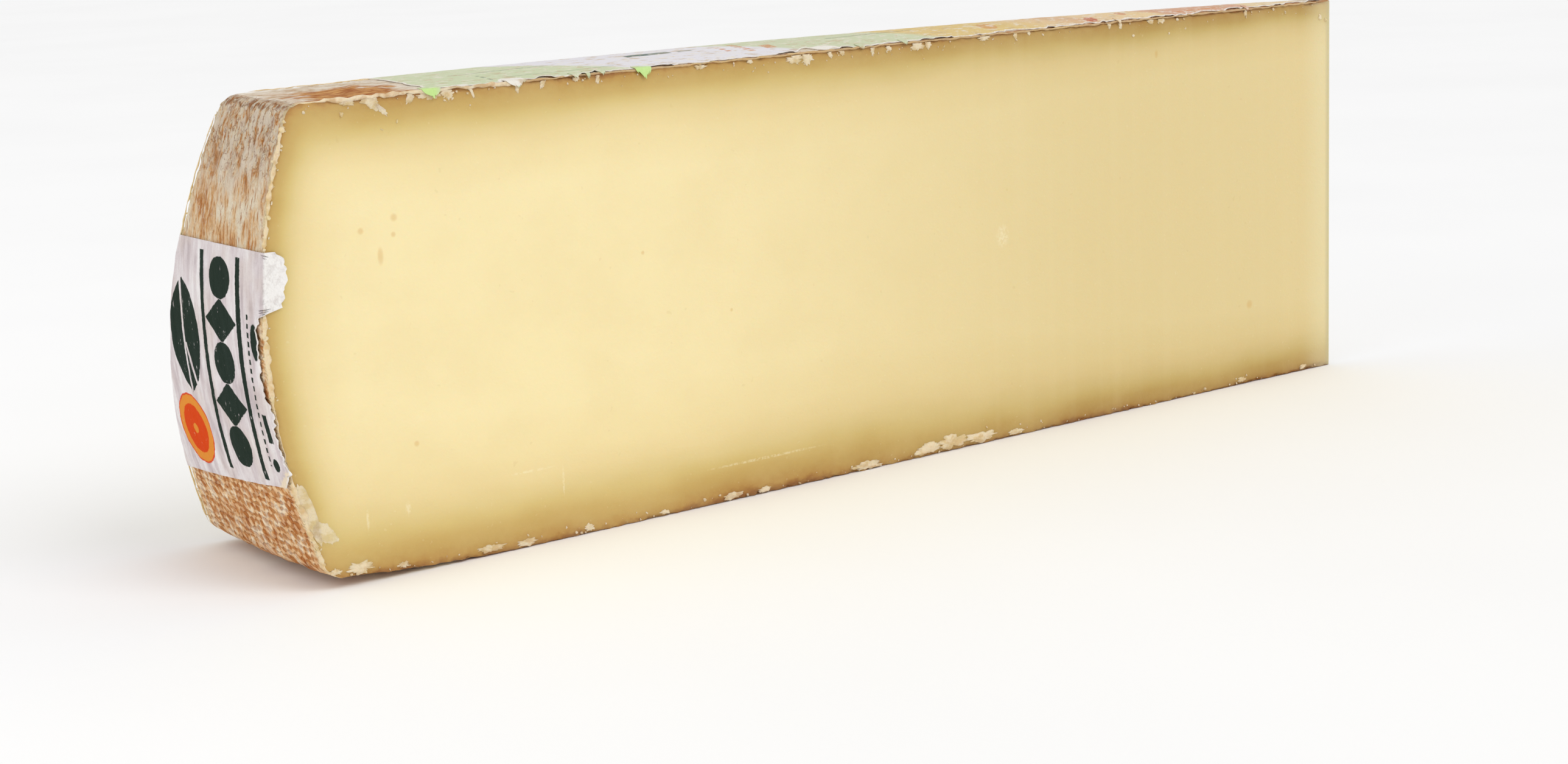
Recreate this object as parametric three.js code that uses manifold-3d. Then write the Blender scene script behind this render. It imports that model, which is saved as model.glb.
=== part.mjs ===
// A long wedge of pressed mountain cheese, as a shop cuts it from a big round wheel.
// It lies on the wheel's flat underside with its thin tip towards +X and its rind heel towards -X.
// Three pieces: the cheese itself, the paper band round the rind, and the paper label on the top.
// Millimetres and degrees, +Z up. The origin is at the middle of the box round the part, at its foot.

import * as THREE from "three";
import { mergeVertices } from "three/addons/utils/BufferGeometryUtils.js";
import Module from "manifold-3d";

// The wheel that the wedge was cut from
const WHEEL_RADIUS = 325; // to the fullest part of the rim
const WHEEL_HEIGHT = 100; // at the crown, the highest ring of the top
const CROWN_RING = 165; // distance of the crown from the wheel's middle
const CROWN_CURVE = 8500; // radius of the slow fall of the top on both sides of the crown
const RIM_CURVE = 135; // radius of the rim's outward bulge, from top to bottom
const RIM_FULLEST = 53; // height of the fullest part of the rim
const TOP_CORNER = 4; // rounding between the top and the rim
const FOOT_CORNER = 4; // rounding between the underside and the rim
const LIFT_WIDTH = 63; // the outer ring of the underside, which lifts off the table
const LIFT_CURVE = 500; // radius of the slow curve of that lift

// The two cuts, one on each side of the middle line
const TIP_WIDTH = 2; // the tip is blunt, not a knife edge
const FRONT_ANGLE = 3.6;
const BACK_ANGLE = 3.6; // at half the wheel's height
const BACK_TWIST = 5.4; // the back cut leans: it is this much narrower at the top than at the foot
const DRAG = 2; // the knife pulled the front top edge down to run straight, this far below the crown

// The papers
const PAPER = 0.6; // thickness, with its creases
const PAPER_GAP = 0.3; // between a paper and the rind
const BAND_FOOT = 17; // height of the band's lower edge
const BAND_WIDTH = 53;
const LABEL_MARGIN = 38; // bare rind between the label and the rim
const LABEL_TIP_MARGIN = 2; // the label stops this far short of the tip
const FLAP_REACH = 6.5; // the torn end of the band, folded on to the front cut
const FLAP_HEIGHT = 13;

// How finely the curved surfaces are divided
const LENGTH_STEPS = 26;
const WIDTH_STEPS = 5;
const HEIGHT_STEPS = 24;
const BAND_STEPS = 10;

const CHEESE_COLOUR = 0xe9d79c;
const BAND_COLOUR = 0xdcd5d6;
const LABEL_COLOUR = 0xcfdcb4;

const wasm = await Module();
wasm.setup();

const { degToRad, lerp } = THREE.MathUtils;

// How far a rounded corner draws back from the rim, at a distance in from the flat face.
function cornerDraw(radius, distance) {
  if (distance >= radius) return 0;
  return radius - Math.sqrt(radius ** 2 - (radius - distance) ** 2);
}

// The radius of the rim at a height on the wheel.
function rimRadius(height) {
  const bulge = Math.sqrt(RIM_CURVE ** 2 - (height - RIM_FULLEST) ** 2) - RIM_CURVE;
  const draw = cornerDraw(TOP_CORNER, WHEEL_HEIGHT - height) + cornerDraw(FOOT_CORNER, height);
  return WHEEL_RADIUS + bulge - draw;
}

// How far the underside has lifted off the table at a distance from the wheel's middle.
function lift(radius) {
  const beyond = Math.max(0, radius - (WHEEL_RADIUS - LIFT_WIDTH));
  return LIFT_CURVE - Math.sqrt(LIFT_CURVE ** 2 - beyond ** 2);
}

// How far the top lies below the crown. The front edge is dragged straight, the back edge keeps its curve.
function topFall(radius, across) {
  const curved = (radius - CROWN_RING) ** 2 / (2 * CROWN_CURVE);
  return lerp(curved, DRAG, (1 - across) ** 2);
}

// A point of the wedge. The radius is from the wheel's middle, across runs from 0 on the front cut to 1
// on the back cut, and height is the height on the uncut wheel.
function wedgePoint(radius, across, height) {
  const up = height / WHEEL_HEIGHT;
  const backAngle = BACK_ANGLE - BACK_TWIST * (up - 0.5);
  const angle = degToRad(lerp(-FRONT_ANGLE, backAngle, across));
  return new THREE.Vector3(
    -radius * Math.cos(angle),
    radius * Math.sin(angle) + TIP_WIDTH * (across - 0.5),
    height + lift(radius) * (1 - up) - topFall(radius, across) * up,
  );
}

// A box whose corners and grid points, each from 0 to 1 along, across and up, are carried to new places.
function shapedBox(steps, place) {
  const geometry = new THREE.BoxGeometry(1, 1, 1, ...steps).translate(0.5, 0.5, 0.5);
  const position = geometry.getAttribute("position");
  for (let i = 0; i < position.count; i += 1) {
    const point = place(position.getX(i), position.getY(i), position.getZ(i));
    position.setXYZ(i, point.x, point.y, point.z);
  }
  geometry.deleteAttribute("uv");
  geometry.deleteAttribute("normal");
  return mergeVertices(geometry);
}

// Rows that lie closer together near both ends, where the corners are round.
function easeRows(share) {
  return (1 - Math.cos(Math.PI * share)) / 2;
}

// The paste with its rind, one piece from the cut tip to the rim.
function cheeseGeometry() {
  // The box's length runs from the rim in to the tip, because +X is the way to the tip.
  return shapedBox([LENGTH_STEPS, WIDTH_STEPS, HEIGHT_STEPS], (along, across, up) => {
    const height = WHEEL_HEIGHT * easeRows(up);
    return wedgePoint((1 - along) * rimRadius(height), across, height);
  });
}

// The printed label that lies on the top, from near the rim to near the tip.
function labelGeometry() {
  const outer = rimRadius(WHEEL_HEIGHT) + TOP_CORNER - LABEL_MARGIN;
  return shapedBox([LENGTH_STEPS, WIDTH_STEPS, 1], (along, across, up) => {
    const point = wedgePoint(lerp(outer, LABEL_TIP_MARGIN, along), across, WHEEL_HEIGHT);
    point.z += PAPER_GAP + PAPER * up;
    return point;
  });
}

// The part of the band that goes round the rim. At the front it stands proud of the cut by the
// thickness of the folded flap.
function bandStripGeometry() {
  return shapedBox([1, WIDTH_STEPS, BAND_STEPS], (along, across, up) => {
    const height = BAND_FOOT + BAND_WIDTH * up;
    const radius = rimRadius(height) + PAPER_GAP + PAPER * (1 - along);
    const point = wedgePoint(radius, across, height);
    if (across === 0) point.y -= PAPER_GAP + PAPER;
    return point;
  });
}

// The torn end of the band, folded flat against the front cut. Its outline is drawn as seen from the
// front, with the wheel's middle at the right: minus the radius along, and the height up.
function bandFlapGeometry() {
  const top = BAND_FOOT + BAND_WIDTH;
  const torn = [
    [0, 0.1],
    [0.1, 0.85],
    [0.3, 1],
    [0.6, 0.75],
    [0.75, 0.85],
    [1, 0.5],
  ];
  const outline = new THREE.Shape();
  for (const down of [1, 0.5, 0]) {
    const height = top - FLAP_HEIGHT * down;
    const outer = rimRadius(height) + PAPER_GAP + PAPER / 2;
    if (down === 1) outline.moveTo(-outer, height);
    else outline.lineTo(-outer, height);
  }
  for (const [down, share] of torn) {
    const height = top - FLAP_HEIGHT * down;
    outline.lineTo(FLAP_REACH * share - rimRadius(height), height);
  }
  outline.closePath();
  const geometry = new THREE.ExtrudeGeometry(outline, { depth: PAPER, bevelEnabled: false });
  // The drawing's axes become inwards along the front cut, up, and out of the cut.
  const angle = degToRad(FRONT_ANGLE);
  const inwards = new THREE.Vector3(Math.cos(angle), Math.sin(angle), 0);
  const upwards = new THREE.Vector3(0, 0, 1);
  const offCut = new THREE.Vector3().crossVectors(inwards, upwards);
  const frame = new THREE.Matrix4().makeBasis(inwards, upwards, offCut);
  frame.setPosition(0, -TIP_WIDTH / 2, 0);
  return geometry.translate(0, 0, PAPER_GAP).applyMatrix4(frame);
}

// A closed geometry as a solid that can be joined to another.
function toSolid(geometry) {
  const bare = geometry.clone();
  bare.deleteAttribute("uv");
  bare.deleteAttribute("normal");
  const merged = mergeVertices(bare);
  const vertices = merged.getAttribute("position").array;
  const indices = new Uint32Array(merged.index.array);
  return new wasm.Manifold(new wasm.Mesh({ numProp: 3, vertProperties: vertices, triVerts: indices }));
}

function toGeometry(solid) {
  const mesh = solid.getMesh();
  const geometry = new THREE.BufferGeometry();
  geometry.setAttribute("position", new THREE.BufferAttribute(mesh.vertProperties, mesh.numProp));
  geometry.setIndex(new THREE.BufferAttribute(mesh.triVerts, 1));
  return geometry;
}

function bandGeometry() {
  return toGeometry(toSolid(bandStripGeometry()).add(toSolid(bandFlapGeometry())));
}

function piece(name, geometry, color, roughness) {
  const material = new THREE.MeshStandardMaterial({ color, roughness, metalness: 0 });
  geometry.computeVertexNormals();
  const mesh = new THREE.Mesh(geometry, material);
  mesh.name = name;
  return mesh;
}

const wedge = new THREE.Group();
wedge.add(piece("cheese", cheeseGeometry(), CHEESE_COLOUR, 0.55));
wedge.add(piece("heel_band", bandGeometry(), BAND_COLOUR, 0.8));
wedge.add(piece("top_label", labelGeometry(), LABEL_COLOUR, 0.75));

// The wheel's middle line is moved so that the origin is at the middle of the box, at its foot.
const box = new THREE.Box3().setFromObject(wedge, true);
const middle = box.getCenter(new THREE.Vector3());
wedge.position.set(-middle.x, -middle.y, -box.min.z);

const part = new THREE.Group();
part.add(wedge);

export default part;
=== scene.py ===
"""Looks of a wedge of pressed mountain cheese with a paper band on its heel and a paper label on its top.

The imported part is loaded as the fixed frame. Every visible piece is shaped on the same wheel that the
part is cut from, stays inside the part's box and rides with its only body. Sizes are in metres unless a
name ends in mm.
"""

import logging
import math
from collections.abc import Sequence
from dataclasses import dataclass, field
from enum import Enum

import bpy
import numpy as np
from mathutils import Matrix, Vector

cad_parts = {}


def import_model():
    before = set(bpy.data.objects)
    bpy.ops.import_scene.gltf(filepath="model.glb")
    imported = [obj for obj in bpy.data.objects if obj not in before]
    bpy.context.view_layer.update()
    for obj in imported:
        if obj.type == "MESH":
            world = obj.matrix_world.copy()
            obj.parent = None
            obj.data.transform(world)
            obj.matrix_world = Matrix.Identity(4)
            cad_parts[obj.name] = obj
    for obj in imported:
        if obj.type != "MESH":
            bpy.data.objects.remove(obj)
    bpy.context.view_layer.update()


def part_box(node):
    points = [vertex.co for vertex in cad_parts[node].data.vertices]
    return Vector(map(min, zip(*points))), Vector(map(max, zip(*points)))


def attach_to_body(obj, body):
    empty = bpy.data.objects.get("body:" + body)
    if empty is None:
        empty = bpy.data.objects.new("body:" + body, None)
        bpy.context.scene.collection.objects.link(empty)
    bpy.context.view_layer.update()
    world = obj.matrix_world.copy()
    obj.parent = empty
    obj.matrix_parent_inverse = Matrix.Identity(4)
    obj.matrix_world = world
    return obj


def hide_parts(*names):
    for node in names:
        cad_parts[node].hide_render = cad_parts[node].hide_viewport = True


LOG = logging.getLogger("cheese_wedge")
MM = 0.001
Array = np.ndarray


class Slot(Enum):
    """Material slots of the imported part."""

    CHEESE = "cheese"
    BAND = "band_paper"
    LABEL = "label_paper"


class Axis(Enum):
    """Axes along which a block's edges are divided."""

    X = 0
    Y = 1
    Z = 2


# ---------------------------------------------------------------- the wheel


@dataclass(frozen=True)
class Wheel:
    """The wheel of cheese that the wedge is cut from, in metres and degrees."""

    radius: float = 0.325
    height: float = 0.100
    crown_ring: float = 0.165
    crown_curve: float = 8.5
    rim_curve: float = 0.135
    rim_fullest: float = 0.053
    corner: float = 0.0026
    lift_width: float = 0.063
    lift_curve: float = 0.5
    tip_width: float = 0.002
    front_angle: float = 3.6
    back_angle: float = 3.6
    back_twist: float = 5.4
    drag: float = 0.002
    middle: tuple[float, float] = (0.16294, -0.00638)

    def corner_draw(self, distance: Array) -> Array:
        """How far the rounded corner draws back at a distance from the flat face."""
        inside = np.maximum(0.0, self.corner - distance)
        return self.corner - np.sqrt(self.corner**2 - np.minimum(inside, self.corner) ** 2)

    def rim(self, height: Array) -> Array:
        """Radius of the rim at a height on the uncut wheel."""
        bulge = np.sqrt(self.rim_curve**2 - (height - self.rim_fullest) ** 2) - self.rim_curve
        draw = self.corner_draw(self.height - height) + self.corner_draw(height)
        return self.radius + bulge - draw

    def back(self, height: Array) -> Array:
        """Angle of the back cut at a height, in degrees."""
        return self.back_angle - self.back_twist * (height / self.height - 0.5)

    def width(self, radius: Array, height: Array) -> Array:
        """Distance from the front cut to the back cut."""
        return radius * np.radians(self.front_angle + self.back(height)) + self.tip_width

    def point(self, radius: Array, across: Array, height: Array) -> Array:
        """Carries places on the wheel to the part's frame.

        Args:
            radius: Distances from the wheel's middle line.
            across: 0 on the front cut to 1 on the back cut.
            height: Heights on the uncut wheel.

        Returns:
            One row of x, y and z for each place.
        """
        radius, across, height = np.broadcast_arrays(radius, across, height)
        up = height / self.height
        angle = np.radians(-self.front_angle + (self.front_angle + self.back(height)) * across)
        beyond = np.maximum(0.0, radius - (self.radius - self.lift_width))
        lift = self.lift_curve - np.sqrt(self.lift_curve**2 - beyond**2)
        curved = (radius - self.crown_ring) ** 2 / (2 * self.crown_curve)
        fall = curved + (self.drag - curved) * (1 - across) ** 2
        return np.column_stack(
            (
                self.middle[0] - radius * np.cos(angle),
                self.middle[1] + radius * np.sin(angle) + self.tip_width * (across - 0.5),
                height + lift * (1 - up) - fall * up,
            )
        )

    def off_cut(self) -> Array:
        """Direction straight out of the front cut."""
        angle = math.radians(self.front_angle)
        return np.array([math.sin(angle), -math.cos(angle), 0.0])

    def off_back(self, height: float) -> Array:
        """Direction straight out of the back cut."""
        angle = math.radians(float(self.back(np.array(height))))
        return np.array([math.sin(angle), math.cos(angle), 0.0])


WHEEL = Wheel()


# ---------------------------------------------------------------- modelling helpers


def smooth(value: Array, low: float, high: float) -> Array:
    """Eases from 0 at low to 1 at high."""
    share = np.clip((value - low) / (high - low), 0.0, 1.0)
    return share * share * (3.0 - 2.0 * share)


def wander(value: Array, step: float, seed: int) -> Array:
    """A seeded uneven line from -1 to 1 along a value, with a new height at each step."""
    low = float(np.min(value)) / step
    count = int(float(np.max(value)) / step - low) + 4
    heights = np.random.default_rng(seed).uniform(-1.0, 1.0, count)
    position = value / step - low
    cell = position.astype(int)
    share = smooth(position - cell, 0.0, 1.0)
    return heights[cell] * (1 - share) + heights[cell + 1] * share


def coordinates(obj: bpy.types.Object) -> Array:
    """Reads a mesh's vertices as rows of x, y and z."""
    flat = np.empty(len(obj.data.vertices) * 3)
    obj.data.vertices.foreach_get("co", flat)
    return flat.reshape(-1, 3)


def set_coordinates(obj: bpy.types.Object, places: Array) -> None:
    """Writes rows of x, y and z to a mesh's vertices."""
    obj.data.vertices.foreach_set("co", np.ascontiguousarray(places, dtype=float).ravel())
    obj.data.update()


def set_rows(obj: bpy.types.Object, name: str, rows: Array) -> None:
    """Stores one value or one vector for each vertex under a name."""
    kind = "FLOAT" if rows.ndim == 1 else "FLOAT_VECTOR"
    data = obj.data.attributes.new(name, kind, "POINT").data
    data.foreach_set("value" if rows.ndim == 1 else "vector", np.asarray(rows, dtype=float).ravel())


def choose(obj: bpy.types.Object) -> None:
    """Makes an object the only selected and the active one."""
    bpy.ops.object.select_all(action="DESELECT")
    obj.select_set(True)
    bpy.context.view_layer.objects.active = obj


def divide(obj: bpy.types.Object, axis: Axis, parts: int) -> None:
    """Divides all edges along one axis into equal parts.

    Args:
        obj: A block or sheet whose edges all run along the axes.
        axis: The axis of the edges to divide.
        parts: How many parts each edge becomes.
    """
    steps = [parts]
    while steps[-1] > 90:
        whole = next(k for k in (10, 9, 8, 7, 6, 5, 4, 3, 2) if steps[-1] % k == 0)
        steps[-1:] = [whole, steps[-1] // whole]
    choose(obj)
    for step in steps:
        if step < 2:
            continue
        bpy.ops.object.mode_set(mode="EDIT")
        bpy.ops.mesh.select_mode(type="EDGE")
        bpy.ops.mesh.select_all(action="DESELECT")
        bpy.ops.object.mode_set(mode="OBJECT")
        ends = np.empty(len(obj.data.edges) * 2, dtype=np.int32)
        obj.data.edges.foreach_get("vertices", ends)
        places = coordinates(obj)
        run = np.abs(places[ends[0::2]] - places[ends[1::2]])
        obj.data.edges.foreach_set("select", run[:, axis.value] > 1e-6)
        bpy.ops.object.mode_set(mode="EDIT")
        bpy.ops.mesh.subdivide(number_cuts=step - 1)
        bpy.ops.object.mode_set(mode="OBJECT")


def block(name: str, cells: tuple[int, int, int]) -> bpy.types.Object:
    """A closed unit block from corner to corner, divided into cells along each axis."""
    bpy.ops.mesh.primitive_cube_add(size=1, location=(0.5, 0.5, 0.5))
    obj = bpy.context.object
    obj.name = name
    bpy.ops.object.transform_apply(location=True, rotation=True, scale=True)
    for axis, parts in zip(Axis, cells):
        if parts > 1:
            divide(obj, axis, parts)
    return obj


def leaf(name: str, cells: tuple[int, int]) -> bpy.types.Object:
    """An open unit sheet, divided into cells along x and y, that gets its thickness later."""
    bpy.ops.mesh.primitive_grid_add(
        x_subdivisions=cells[0], y_subdivisions=cells[1], size=1, location=(0.5, 0.5, 0)
    )
    obj = bpy.context.object
    obj.name = name
    bpy.ops.object.transform_apply(location=True, rotation=True, scale=True)
    return obj


def thicken(obj: bpy.types.Object, thickness: float) -> None:
    """Gives a sheet its thickness below its outer face, which closes it."""
    choose(obj)
    layer = obj.modifiers.new("thickness", "SOLIDIFY")
    layer.thickness = thickness
    layer.offset = -1
    bpy.ops.object.modifier_apply(modifier=layer.name)


def face_outward(obj: bpy.types.Object) -> None:
    """Turns all faces of a closed mesh outward."""
    choose(obj)
    bpy.ops.object.mode_set(mode="EDIT")
    bpy.ops.mesh.select_all(action="SELECT")
    bpy.ops.mesh.normals_make_consistent(inside=False)
    bpy.ops.object.mode_set(mode="OBJECT")


def disc_from_square(run: Array, rise: Array) -> tuple[Array, Array]:
    """Carries places on a square from -1 to 1 to a round disc."""
    return run * np.sqrt(1 - rise**2 / 2), rise * np.sqrt(1 - run**2 / 2)


def copied(master: bpy.types.Object) -> bpy.types.Object:
    """A copy of an object with its own mesh, in the scene."""
    obj = master.copy()
    obj.data = master.data.copy()
    bpy.context.scene.collection.objects.link(obj)
    return obj


def soften(obj: bpy.types.Object, angle: float) -> None:
    """Shades smoothly, with edges sharper than the angle kept."""
    choose(obj)
    bpy.ops.object.shade_smooth_by_angle(angle=math.radians(angle))


def complete(obj: bpy.types.Object, angle: float, *finishes: bpy.types.Material) -> bpy.types.Object:
    """Gives a piece its finishes and its shading, clears what was only for making it, and reports it."""
    obj.vertex_groups.clear()
    for finish in finishes:
        obj.data.materials.append(finish)
    soften(obj, angle)
    LOG.info("%s: %d faces", obj.name, len(obj.data.polygons))
    return obj


def merge(name: str, parts: Sequence[bpy.types.Object]) -> bpy.types.Object:
    """Joins several meshes into one object under a name."""
    choose(parts[0])
    for part in parts[1:]:
        part.select_set(True)
    bpy.ops.object.join()
    obj = bpy.context.object
    obj.name = name
    obj.data.name = name
    return obj


def weigh(obj: bpy.types.Object, name: str, weights: Array) -> None:
    """Stores weights from 0 to 1 as a vertex group, rounded to twentieths."""
    group = obj.vertex_groups.new(name=name)
    levels = np.rint(np.clip(weights, 0.0, 1.0) * 20).astype(int)
    for level in np.unique(levels):
        if level > 0:
            group.add(np.nonzero(levels == level)[0].tolist(), level / 20, "REPLACE")


@dataclass(frozen=True)
class Relief:
    """One layer of unevenness, raised and sunk along the normals.

    Attributes:
        group: Vertex group that carries it.
        depth: From the lowest to the highest place.
        grain: Size of its features along x, y and z.
        middle: Share of the depth that is sunk.
        detail: Number of finer layers in it.
    """

    group: str
    depth: float
    grain: tuple[float, float, float]
    middle: float = 0.5
    detail: int = 2

    def press(self, obj: bpy.types.Object) -> None:
        """Presses the unevenness into a mesh."""
        texture = bpy.data.textures.new(f"grain_{self.group}", "CLOUDS")
        texture.noise_scale = 1.0
        texture.noise_depth = self.detail
        bpy.ops.object.empty_add()
        guide = bpy.context.object
        guide.scale = self.grain
        bpy.context.view_layer.update()
        choose(obj)
        layer = obj.modifiers.new("relief", "DISPLACE")
        layer.texture = texture
        layer.texture_coords = "OBJECT"
        layer.texture_coords_object = guide
        layer.strength = self.depth
        layer.mid_level = self.middle
        layer.vertex_group = self.group
        bpy.ops.object.modifier_apply(modifier=layer.name)
        bpy.data.objects.remove(guide)
        bpy.data.textures.remove(texture)


# ---------------------------------------------------------------- finishes

Colour = tuple[float, float, float, float]
Grain = tuple[float, float, float]
Stops = Sequence[tuple[float, Colour]]


def tint(red: int, green: int, blue: int) -> Colour:
    """A display colour from 0 to 255 as the linear colour that shading works in."""
    channels = [c / 255 for c in (red, green, blue)]
    linear = [c / 12.92 if c <= 0.04045 else ((c + 0.055) / 1.055) ** 2.4 for c in channels]
    return (linear[0], linear[1], linear[2], 1.0)


@dataclass(frozen=True)
class Term:
    """A number or a colour at each place of a finish, reckoned with like a plain number."""

    make: "Recipe"
    socket: bpy.types.NodeSocket

    def __add__(self, other: "Value") -> "Term":
        """The sum of two terms."""
        return self.make.math("ADD", self, other)

    def __sub__(self, other: "Value") -> "Term":
        """This term less another."""
        return self.make.math("SUBTRACT", self, other)

    def __rsub__(self, other: float) -> "Term":
        """A number less this term."""
        return self.make.math("SUBTRACT", other, self)

    def __mul__(self, other: "Value") -> "Term":
        """The product of two terms."""
        return self.make.math("MULTIPLY", self, other)

    def __truediv__(self, other: float) -> "Term":
        """This term over a number."""
        return self.make.math("MULTIPLY", self, 1 / other)

    def __abs__(self) -> "Term":
        """The term without its sign."""
        return self.make.math("ABSOLUTE", self)


Value = float | Term


class Recipe:
    """Builds one material from short steps that each add a node."""

    def __init__(self, name: str) -> None:
        """Starts an empty material."""
        self.material = bpy.data.materials.new(name)
        self.material.use_nodes = True
        self.tree = self.material.node_tree
        self.tree.nodes.clear()
        place = Term(self, self.node("ShaderNodeTexCoord").outputs["Object"])
        self.place_mm = self.vector("MULTIPLY", place, (1 / MM,) * 3, "Vector")

    def node(self, kind: str, **settings: object) -> bpy.types.Node:
        """Adds a node with its settings."""
        node = self.tree.nodes.new(kind)
        for key, value in settings.items():
            setattr(node, key, value)
        return node

    def feed(self, node: bpy.types.Node, **inputs: object) -> bpy.types.Node:
        """Links a node's inputs to terms, or gives them constants.

        Args:
            node: The node.
            **inputs: Values by the input's name with underscores for spaces, or by its number after an i.

        Returns:
            The node.
        """
        for key, value in inputs.items():
            socket = node.inputs[int(key[1:]) if key[1:].isdigit() else key.replace("_", " ")]
            if isinstance(value, Term):
                self.tree.links.new(value.socket, socket)
            else:
                socket.default_value = value
        return node

    def math(self, operation: str, *values: Value) -> Term:
        """Adds a number step."""
        node = self.node("ShaderNodeMath", operation=operation)
        return Term(self, self.feed(node, **{f"i{i}": value for i, value in enumerate(values)}).outputs[0])

    def least(self, first: Value, second: Value) -> Term:
        """The smaller of two values."""
        return self.math("MINIMUM", first, second)

    def most(self, first: Value, second: Value) -> Term:
        """The greater of two values."""
        return self.math("MAXIMUM", first, second)

    def length(self, first: Term, second: Term) -> Term:
        """The length of a slanting line with two sides."""
        return self.math("SQRT", first * first + second * second)

    def vector(self, operation: str, first: Term, second: Grain, output: str) -> Term:
        """Adds a step with a constant vector."""
        node = self.node("ShaderNodeVectorMath", operation=operation)
        return Term(self, self.feed(node, i0=first, i1=second).outputs[output])

    def along(self, direction: Grain) -> Term:
        """How far a place runs along a direction, in millimetres."""
        return self.vector("DOT_PRODUCT", self.place_mm, direction, "Value")

    def rows(self, name: str) -> tuple[Term, Term, Term]:
        """The three parts of a stored vector."""
        stored = self.node("ShaderNodeAttribute", attribute_name=name)
        split = self.feed(self.node("ShaderNodeSeparateXYZ"), i0=Term(self, stored.outputs["Vector"]))
        return Term(self, split.outputs[0]), Term(self, split.outputs[1]), Term(self, split.outputs[2])

    def row(self, name: str) -> Term:
        """A stored value."""
        return Term(self, self.node("ShaderNodeAttribute", attribute_name=name).outputs["Fac"])

    def noise(self, grain: Grain, detail: float = 3.0, rough: float = 0.55) -> Term:
        """Uneven values from about 0.2 to 0.8 with a grain in millimetres along x, y and z."""
        fine = self.vector("MULTIPLY", self.place_mm, tuple(1 / size for size in grain), "Vector")
        node = self.node("ShaderNodeTexNoise")
        return Term(self, self.feed(node, Vector=fine, Scale=1.0, Detail=detail, Roughness=rough).outputs[0])

    def sway(self, size: float, grain: Grain, detail: float = 3.0, rough: float = 0.55) -> Term:
        """Uneven values of a size to both sides of zero."""
        return (self.noise(grain, detail, rough) - 0.5) * size

    def ease(self, value: Value, low: float, high: float, start: float = 0.0, end: float = 1.0) -> Term:
        """Eases from start at low to end at high."""
        node = self.node("ShaderNodeMapRange", interpolation_type="SMOOTHSTEP")
        return Term(self, self.feed(node, i0=value, i1=low, i2=high, i3=start, i4=end).outputs[0])

    def ramp(self, value: Term, stops: Stops) -> Term:
        """A colour that runs through stops."""
        node = self.feed(self.node("ShaderNodeValToRGB"), i0=value)
        band = node.color_ramp
        for index, (position, colour) in enumerate(stops):
            element = band.elements[index] if index < 2 else band.elements.new(position)
            element.position = position
            element.color = colour
        return Term(self, node.outputs[0])

    def mix(self, share: Value, first: Term | Colour, second: Term | Colour, blend: str = "MIX") -> Term:
        """Lays the second colour over the first by a share."""
        node = self.node("ShaderNodeMix", data_type="RGBA", blend_type=blend)
        return Term(self, self.feed(node, i0=share, i6=first, i7=second).outputs[2])

    def coats(self, colour: Term, *coats: tuple[Value, Term | Colour]) -> Term:
        """Lays colours over one another, each by its share."""
        for share, over in coats:
            colour = self.mix(share, colour, over)
        return colour

    def bump(self, height: Term, depth_mm: float) -> Term:
        """Fine relief of a depth."""
        node = self.node("ShaderNodeBump")
        return Term(self, self.feed(node, Strength=1.0, Distance=depth_mm * MM, Height=height).outputs[0])

    def finish(self, colour: Term, rough: Value, relief: Term, **constants: object) -> bpy.types.Material:
        """Closes the recipe with its surface.

        Args:
            colour: Base colour.
            rough: Roughness.
            relief: Normal with the fine relief.
            **constants: Other sockets by name, with underscores for spaces.

        Returns:
            The material.
        """
        surface = self.node("ShaderNodeBsdfPrincipled")
        self.feed(surface, Base_Color=colour, Roughness=rough, Normal=relief, **constants)
        self.feed(self.node("ShaderNodeOutputMaterial"), Surface=Term(self, surface.outputs[0]))
        return self.material


def rim_depth(radius: Term, height: Term) -> Term:
    """How far in from the rim a place lies, in millimetres."""
    off_fullest = height - WHEEL.rim_fullest / MM
    return WHEEL.radius / MM - off_fullest * off_fullest * (MM / (2 * WHEEL.rim_curve)) - radius


@dataclass(frozen=True)
class Spot:
    """A small mark on a cut face: its place on the wheel and its size, in millimetres."""

    radius: float
    height: float
    size: float
    tall: float = 1.0


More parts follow.
